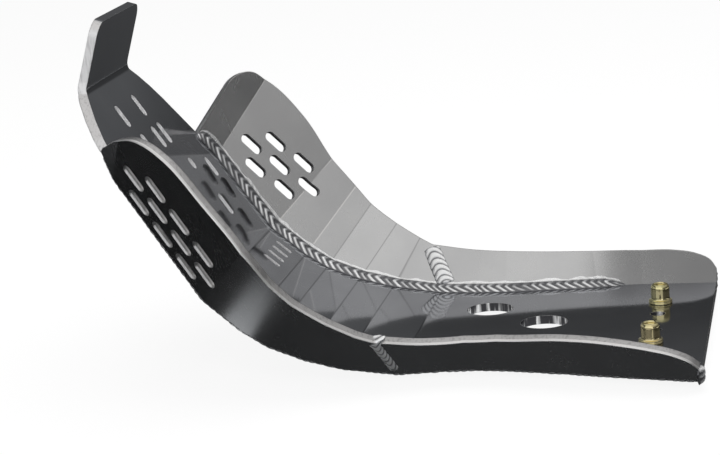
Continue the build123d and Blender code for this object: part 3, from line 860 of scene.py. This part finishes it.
def sheet_material(name, colour, stretch, roughness, shade, marks):
    """Rolled aluminium: streaked gloss, faint smudges, a slow waviness, fold lines of painted highlight and
    shade, a painted highlight line at the rim, painted reflection streaks on bored walls, and sawn edges.

    The marks say where the sheet is cut, folded, bored or matte, and which tones a sawn edge has.
    """
    material, tree = new_material(name)
    marks = marks(tree)
    grain = use_group(tree, "rolled_grain", Stretch=stretch)
    base = [shade * channel for channel in colour]
    dull, bright = scaled(base, 0.95, 0.95, 0.955), scaled(base, 1.04, 1.04, 1.04)
    sawn_dull, sawn = ((tone, tone, tone * 1.01, 1.0) for tone in marks["tones"])
    painted_highlight_white, painted_reflection_black = (0.92, 0.92, 0.92, 1.0), (0.05, 0.05, 0.055, 1.0)
    tone = mix_colour(tree, ramp(tree, grain["Smudge"], 0.30, 0.68), dull, bright)
    tone = mix_colour(tree, product(tree, grain["Streak"], 0.22), tone, bright)
    # Dark lines at the bends and folds are painted shade.
    tone = mix_colour(tree, marks["dark"], tone, scaled(base, 0.25, 0.25, 0.25))
    # Light lines at the folds are painted highlight.
    if "light" in marks:
        tone = mix_colour(tree, marks["light"], tone, painted_highlight_white)
    place = object_place(tree)
    drawn = drawn_out(tree, place, (800.0, 800.0, 90.0))
    teeth = ramp(tree, noise(tree, drawn, 1.0, 2.0), 0.30, 0.52)
    tone = mix_colour(tree, marks["cut"], tone, mix_colour(tree, teeth, sawn_dull, sawn))
    # The line along the outer edge of a rim is a painted highlight.
    if "line" in marks:
        tone = mix_colour(tree, marks["line"], tone, painted_highlight_white)
    # Walls of bored holes get painted reflection: streaks of black and white by the turned noise, drawn out
    # upright.
    if "bored" in marks:
        turned = ramp(tree, noise(tree, drawn, 0.4, 1.0), 0.48, 0.66)
        tone = mix_colour(tree, marks["bored"], tone, mix_colour(tree, turned, painted_reflection_black, painted_highlight_white))
    metallic = rest(tree, marks["matte"]) if "matte" in marks else 1.0
    gloss = chained(tree, "ADD", (
        math_node(tree, "MULTIPLY_ADD", grain["Smudge"], 0.04, roughness - 0.03),
        product(tree, grain["Streak"], 0.03), product(tree, grain["Scratch"], 0.04),
        product(tree, marks["cut"], 0.40 - roughness)))
    slow = bump(tree, noise(tree, place, 14.0, 1.0), 0.10, 0.0010, marks.get("normal"))
    fine = bump(tree, grain["Height"], 0.04, 0.0001, slow)
    metal(tree, tone, gloss, fine, Metallic=metallic, Specular_Tint=(0.62, 0.62, 0.63, 1.0))
    return material


def side_material(name, colour, roughness):
    """Satin aluminium of a wing or a rail."""
    return sheet_material(name, colour, SIDE_GRAIN, roughness, 1.0, side_marks)


def bead_material(colour):
    """As-welded aluminium: painted highlight on the crests, painted shade in the valleys between the
    ripples, faint soot, a light fringe at the toe, and a fine frosted skin.
    """
    material, tree = new_material("weld_metal")
    grain = use_group(tree, "rolled_grain", Stretch=(700.0, 700.0, 700.0), Smudge_Scale=90.0)
    soot_and_valley_shade, fringe_and_crest_highlight = scaled(colour, 0.21, 0.21, 0.22), scaled(colour, 1.28, 1.28, 1.28)
    # The ripple mark paints the crests light as painted highlight and the valleys dark as painted shade;
    # the toe gets the fringe colour.
    tone = mix_colour(tree, ramp(tree, attribute(tree, "ripple"), 0.15, 0.85), soot_and_valley_shade, fringe_and_crest_highlight)
    tone = mix_colour(tree, product(tree, grain["Smudge"], 0.12), tone, soot_and_valley_shade)
    gloss = math_node(tree, "MULTIPLY_ADD", grain["Smudge"], 0.25, 0.16)
    metal(tree, tone, gloss, bump(tree, grain["Height"], 0.25, 0.00015), Metallic=0.82)
    return material


def zinc_material(colour):
    """Yellow zinc over turned steel: fine turning rings, and patches from yellow to a faint green."""
    material, tree = new_material("yellow_zinc")
    grain = use_group(tree, "rolled_grain", Stretch=(120.0, 120.0, 4000.0), Smudge_Scale=60.0)
    warm, green = scaled(colour, 1.12, 1.10, 0.98), scaled(colour, 0.98, 1.10, 0.92)
    tone = mix_colour(tree, ramp(tree, grain["Smudge"], 0.30, 0.70), warm, green)
    gloss = math_node(tree, "MULTIPLY_ADD", grain["Streak"], 0.04, 0.07)
    metal(tree, tone, gloss, bump(tree, grain["Height"], 0.04, 0.00004))
    return material


def floor_material():
    """Pale matte floor that shows the camera a share of plain white."""
    material, tree = new_material("pale_floor")
    share = product(tree, node(tree, "LightPath").outputs["Is Camera Ray"], FLOOR_WHITE)
    matte = node(tree, "BsdfDiffuse", {"Color": (0.93, 0.93, 0.93, 1.0)})
    white = node(tree, "Emission", {"Color": WHITE})
    blend = node(tree, "MixShader", {0: share, 1: matte.outputs[0], 2: white.outputs[0]})
    node(tree, "OutputMaterial", {0: blend.outputs[0]})
    return material


def graded(name):
    """Glow of a card whose level changes along one axis, from stops of place and level."""
    axis, tint, *stops = GLOWS[name]
    start, end = stops[0][0], stops[-1][0]
    material, tree = new_material(name)
    place = split(tree, object_place(tree))[axis]
    span = node(tree, "MapRange", {"Value": place, "From Min": start, "From Max": end})
    scale = node(tree, "ValToRGB", {"Fac": span.outputs["Result"]})
    marks = scale.color_ramp.elements
    for stop, _ in stops[1:-1]:
        marks.new((stop - start) / (end - start))
    for mark, (_, level) in zip(marks, stops):
        mark.color = (level * (1 - tint), level, level * (1 + tint), 1.0)
    glow = node(tree, "Emission", {"Color": scale.outputs["Color"]})
    node(tree, "OutputMaterial", {0: glow.outputs[0]})
    return material


def stage_sheet(name, low, high, material):
    """Rectangle of the stage between two opposite corners, which share one coordinate."""
    low, high = np.array(low), np.array(high)
    a, b = np.flatnonzero(low != high)
    corners = np.tile(low, (4, 1))
    corners[1:3, a] = high[a]
    corners[2:, b] = high[b]
    mesh = bpy.data.meshes.new(name)
    mesh.from_pydata(corners.tolist(), [], [(0, 1, 2, 3)])
    mesh.materials.append(material)
    made = placed(name, mesh)
    return made


def set_cards():
    """Cards of the stage, which only show in the metal."""
    glows = {name: graded(name) for name in GLOWS}
    for name, (glow, low, high) in CARDS.items():
        made = stage_sheet(name, low, high, glows[glow])
        for ray in ("camera", "diffuse", "transmission", "shadow"):
            setattr(made, "visible_" + ray, False)


def light_world(scene):
    """White world at full strength for what the camera and the metal see, and softer as a light."""
    scene.world = bpy.data.worlds.new("studio")
    tree = empty_tree(scene.world)
    path = node(tree, "LightPath").outputs
    seen = largest(tree, *(path[f"Is {kind} Ray"] for kind in ("Camera", "Glossy", "Transmission")))
    level = math_node(tree, "MULTIPLY_ADD", seen, 0.45, 0.55)
    sky = node(tree, "Background", {"Color": WHITE, "Strength": level})
    node(tree, "OutputWorld", {0: sky.outputs[0]})


def soft_box(name, place, target, size, power):
    """Square area lamp turned towards a point, which the metal doesn't mirror."""
    data = bpy.data.lights.new(name, "AREA")
    data.shape = "SQUARE"
    data.size = size
    data.energy = power
    lamp = placed(name, data)
    lamp.location = place
    lamp.rotation_euler = (Vector(target) - Vector(place)).to_track_quat("-Z", "Y").to_euler()
    lamp.visible_glossy = False


def place_camera(scene, lens):
    """Camera of the photograph's view."""
    data = bpy.data.cameras.new("camera")
    data.sensor_fit = "HORIZONTAL"
    data.sensor_width = 36.0
    data.lens = lens
    data.clip_start, data.clip_end = 0.05, 50.0
    camera = placed("camera", data)
    turn = Matrix((CAMERA_RIGHT, -CAMERA_DOWN, -CAMERA_AHEAD)).transposed().to_4x4()
    turn.translation = CAMERA_PLACE
    camera.matrix_world = turn
    scene.camera = camera


class SKID_OT_finish_plate(bpy.types.Operator):
    """Give the bent plate its polished aluminium"""

    bl_idname = "skid.finish_plate"
    bl_label = "Finish Plate"

    def execute(self, context):
        values = context.scene.skid_sheets
        grain_group()
        edge_group()
        material = sheet_material(
            "plate_aluminium", values.plate_colour, PLATE_GRAIN, values.plate_roughness, values.plate_shade,
            lambda tree: plate_marks(tree, values.edge_round))
        piece = frame["nodes"]["centre_plate"]
        if not piece.material_slots:
            raise RuntimeError("centre_plate has no material slot")
        for place in piece.material_slots:
            place.material = material
        return {"FINISHED"}


class SKID_OT_fold_sides(bpy.types.Operator):
    """Fold the wings and the rails of both sides, with bowed rims, rounded edges and slots"""

    bl_idname = "skid.fold_sides"
    bl_label = "Fold Sides"

    def execute(self, context):
        values = context.scene.skid_sides
        rounding = values.rim_round / MM
        for title, joint, panel in both_joints():
            rim, grid = sheet_rings(joint, SEAM_STATION, len(joint["feet"]) - 1, rounding)
            crease = np.zeros(grid.shape[:2])
            for station in range(SEAM_STATION + 1, PANEL_STATION + 2):
                corner = np.argmin(np.linalg.norm(rim - joint["tops"][station], axis=1))
                # Fold lines on the inner face are painted: light as painted highlight from one station
                # before the panel on, dark as painted shade at the folds before that.
                crease[corner, :INNER_RINGS] = 1.0 if station >= PANEL_STATION - 1 else -1.0
            body = side_mesh(title + "_wing_body", [grid], SHEET_CUT, False, crease)
            mesh = cut_slots(body, slot_rings(joint, panel))
            mesh.name = title + "_wing_sheet"
            mesh.materials.clear()
            material = side_material("wing_aluminium_" + title, values.wing_colour, values.roughness)
            add_piece(title + "_wing_sheet", mesh, material, "wing_sheet", title + "_front_wing")

            _, grid = sheet_rings(joint, 0, SEAM_STATION, rounding)
            mesh = side_mesh(title + "_rail_sheet", [grid], SHEET_CUT, True)
            mesh.set_sharp_from_angle(angle=RAIL_SHARP)
            material = side_material("rail_aluminium_" + title, values.rail_colour, values.roughness)
            add_piece(title + "_rail_sheet", mesh, material, "rail_sheet", title + "_rear_rail")
        return {"FINISHED"}


class SKID_OT_lay_beads(bpy.types.Operator):
    """Lay the rippled weld beads of both sides"""

    bl_idname = "skid.lay_beads"
    bl_label = "Lay Weld Beads"

    def execute(self, context):
        values = context.scene.skid_beads
        material = bead_material(values.colour)
        leg, rise, pitch = values.leg / MM, values.rise / MM, values.pitch / MM
        for title, joint, _ in both_joints():
            name = title + "_weld_beads"
            grids, marks = zip(*joint_beads(joint, leg, rise, pitch))
            mesh = mesh_of_grids(name, grids)
            mark_mesh(mesh, "ripple", "POINT", marks)
            add_piece(name, mesh, material, "weld", title + "_welds")
        return {"FINISHED"}


class SKID_OT_turn_nuts(bpy.types.Operator):
    """Turn the two rivet nuts"""

    bl_idname = "skid.turn_nuts"
    bl_label = "Turn Rivet Nuts"

    def execute(self, context):
        values = context.scene.skid_nuts
        nut = nut_rings(values.thread_pitch / MM)
        half = np.array([0.0, NUT_PITCH / 2, 0.0])
        mesh = mesh_of_grids("rivet_nut_pair", [nut + half, nut - half], closed=True)
        mesh.set_sharp_from_angle(angle=NUT_SHARP)
        add_piece("rivet_nut_pair", mesh, zinc_material(values.colour), "zinc_nut", "rivet_nuts")
        return {"FINISHED"}


class SKID_OT_set_stage(bpy.types.Operator):
    """Set the floor, the cards, the soft boxes and the camera"""

    bl_idname = "skid.set_stage"
    bl_label = "Set Stage"

    def execute(self, context):
        scene = context.scene
        values = scene.skid_stage
        scene.view_settings.view_transform = "Standard"
        low, high = (-FLOOR_HALF, -FLOOR_HALF, FLOOR_Z), (FLOOR_HALF, FLOOR_HALF, FLOOR_Z)
        stage_sheet("floor", low, high, floor_material())
        set_cards()
        light_world(scene)
        soft_box("overhead_box", (0.1, -0.2, 1.3), (0.14, 0.0, 0.05), 1.2, values.key_power)
        soft_box("camera_box", (-0.6, 1.3, 0.9), (0.14, 0.0, 0.08), 0.8, values.fill_power)
        place_camera(scene, values.lens)
        return {"FINISHED"}


class SKID_PT_panel(bpy.types.Panel):
    """Steps and values of the skid plate"""

    bl_label = "Skid Plate"
    bl_idname = "SKID_PT_panel"
    bl_space_type = "VIEW_3D"
    bl_region_type = "UI"
    bl_category = "Skid Plate"

    def draw(self, context):
        for name, _, operator in STEPS:
            box = self.layout.box()
            box.operator(operator.bl_idname)
            values = getattr(context.scene, name)
            for key in values.bl_rna.properties.keys():
                if key not in ("rna_type", "name"):
                    box.prop(values, key)


STEPS = (
    ("skid_sheets", SkidSheetSettings, SKID_OT_finish_plate),
    ("skid_sides", SkidSideSettings, SKID_OT_fold_sides),
    ("skid_beads", SkidBeadSettings, SKID_OT_lay_beads),
    ("skid_nuts", SkidNutSettings, SKID_OT_turn_nuts),
    ("skid_stage", SkidStageSettings, SKID_OT_set_stage),
)


def register():
    for name, group, operator in STEPS:
        bpy.utils.register_class(group)
        setattr(bpy.types.Scene, name, PointerProperty(type=group))
        bpy.utils.register_class(operator)
    bpy.utils.register_class(SKID_PT_panel)


def unregister():
    bpy.utils.unregister_class(SKID_PT_panel)
    for name, group, operator in reversed(STEPS):
        bpy.utils.unregister_class(operator)
        delattr(bpy.types.Scene, name)
        bpy.utils.unregister_class(group)


def main():
    register()
    bpy.ops.skid.finish_plate()
    bpy.ops.skid.fold_sides()
    bpy.ops.skid.lay_beads()
    bpy.ops.skid.turn_nuts()
    bpy.ops.skid.set_stage()


if __name__ == "__main__":
    main()
